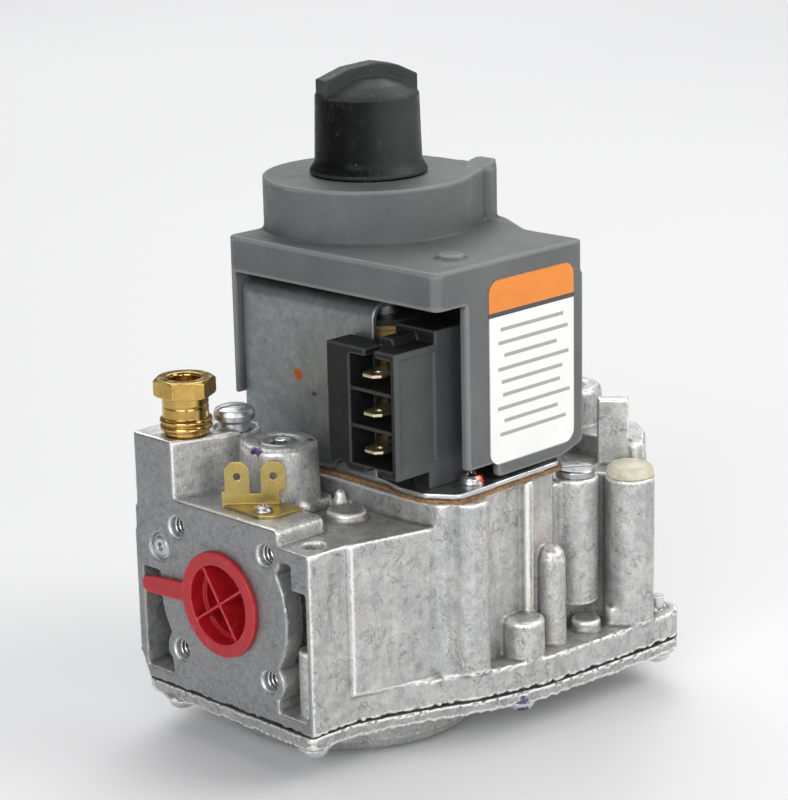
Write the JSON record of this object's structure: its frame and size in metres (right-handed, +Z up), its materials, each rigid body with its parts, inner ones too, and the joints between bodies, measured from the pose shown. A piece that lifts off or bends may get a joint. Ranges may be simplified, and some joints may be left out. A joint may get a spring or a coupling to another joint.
{
  "type": "gas control valve",
  "caption": "Combination gas valve: cast body with flanged inlet and outlet, diaphragm cover, tap bosses, covered coils, terminal block and on-off knob.",
  "frame": {"origin": "centre of the inlet port, on the flat inlet face", "axes": "+X along the gas flow from inlet to outlet, +Z up through the knob, -Y towards the labelled side"},
  "size_m": [0.1285, 0.1061, 0.1714],
  "materials": {
    "cast_aluminium": "as cast, lightly tumbled",
    "nitrile_rubber": "matt",
    "zinc_plated_steel": "bright zinc plate",
    "stainless_steel": "bright drawn",
    "brass": "turned",
    "machined_aluminium": "machined",
    "red_plastic": "semi-gloss moulded",
    "black_plastic": "moulded",
    "bobbin_plastic": "moulded",
    "coil_tape": "wrapped tape",
    "grey_plastic": "fine moulded grain",
    "label_film": "printed film",
    "dark_plastic_cap": "moulded",
    "translucent_plastic": "cloudy moulded",
    "gasket_fibre": "pressed fibre"
  },
  "bodies": {
    "valve": {"valve_body": "cast_aluminium", "main_diaphragm": "nitrile_rubber", "diaphragm_cover": "cast_aluminium", "diaphragm_cover_screws": "zinc_plated_steel", "inlet_screen": "stainless_steel", "bleed_screw": "machined_aluminium", "pilot_ferrule": "brass", "inlet_tap_plug": "machined_aluminium", "outlet_tap_plug": "machined_aluminium", "ground_bracket": "brass", "ground_screw": "stainless_steel", "regulator_spring": "stainless_steel", "regulator_spring_seat": "machined_aluminium", "sealing_plug": "translucent_plastic", "operator_gasket": "gasket_fibre", "operator_base_plate": "zinc_plated_steel", "operator_screws": "zinc_plated_steel", "coil_bracket": "zinc_plated_steel", "pilot_core_tube": "stainless_steel", "pilot_coil_bobbin": "bobbin_plastic", "pilot_coil_winding": "coil_tape", "main_core_tube": "stainless_steel", "main_coil_bobbin": "bobbin_plastic", "main_coil_winding": "coil_tape", "terminal_block": "black_plastic", "terminal_blades": "brass", "top_cover": "grey_plastic", "cover_label": "label_film"},
    "knob": {"control_knob": "black_plastic", "knob_shaft": "stainless_steel", "gas_cock_rotor": "brass"},
    "pilot_armature": {"pilot_plunger": "stainless_steel", "pilot_valve_disc": "nitrile_rubber", "pilot_plunger_spring": "stainless_steel"},
    "main_armature": {"main_plunger": "stainless_steel", "main_valve_disc": "nitrile_rubber", "main_plunger_spring": "stainless_steel"},
    "main_valve": {"main_valve_stem": "stainless_steel", "main_valve_seal": "nitrile_rubber", "diaphragm_backing_plate": "stainless_steel", "main_valve_spring": "stainless_steel"},
    "inlet_plug": {"shipping_plug": "red_plastic"},
    "pilot_nut": {"pilot_compression_nut": "brass"},
    "pilot_adjuster": {"pilot_adjust_cap": "zinc_plated_steel"},
    "regulator_adjuster": {"regulator_adjust_screw": "zinc_plated_steel"},
    "regulator_cover": {"regulator_cap": "dark_plastic_cap"}
  },
  "joints": [
    {"name": "knob_turn", "type": "hinge", "parent": "valve", "child": "knob", "pos_m": [0.07, 0.0135, 0.11], "axis": [0, 0, 1], "range_deg": [0, 90]},
    {"name": "pilot_armature_lift", "type": "slide", "parent": "valve", "child": "pilot_armature", "axis": [0, 0, 1], "range_m": [0, 0.0012], "stiffness_N_per_m": 100, "springref_m": -0.008, "deforming": ["pilot_plunger_spring"]},
    {"name": "main_armature_lift", "type": "slide", "parent": "valve", "child": "main_armature", "axis": [0, 0, 1], "range_m": [0, 0.0012], "stiffness_N_per_m": 100, "springref_m": -0.008, "deforming": ["main_plunger_spring"]},
    {"name": "main_valve_lift", "type": "slide", "parent": "valve", "child": "main_valve", "axis": [0, 0, 1], "range_m": [0, 0.0035], "stiffness_N_per_m": 200, "springref_m": -0.008, "deforming": ["main_valve_spring"]},
    {"name": "inlet_plug_pull", "type": "slide", "parent": "valve", "child": "inlet_plug", "axis": [-1, 0, 0], "range_m": [0, 0.03]},
    {"name": "pilot_nut_turn", "type": "hinge", "parent": "valve", "child": "pilot_nut", "pos_m": [0.0086, 0.021, 0.045], "axis": [0, 0, 1], "continuous": true},
    {"name": "pilot_adjuster_turn", "type": "hinge", "parent": "valve", "child": "pilot_adjuster", "pos_m": [0.0214, 0.0166, 0.04], "axis": [0, 0, 1], "continuous": true},
    {"name": "regulator_adjuster_turn", "type": "hinge", "parent": "valve", "child": "regulator_adjuster", "pos_m": [0.091, -0.041, 0.013], "axis": [0, 0, 1], "continuous": true},
    {"name": "regulator_cap_turn", "type": "hinge", "parent": "valve", "child": "regulator_cover", "pos_m": [0.091, -0.041, 0.02], "axis": [0, 0, 1], "continuous": true}
  ]
}
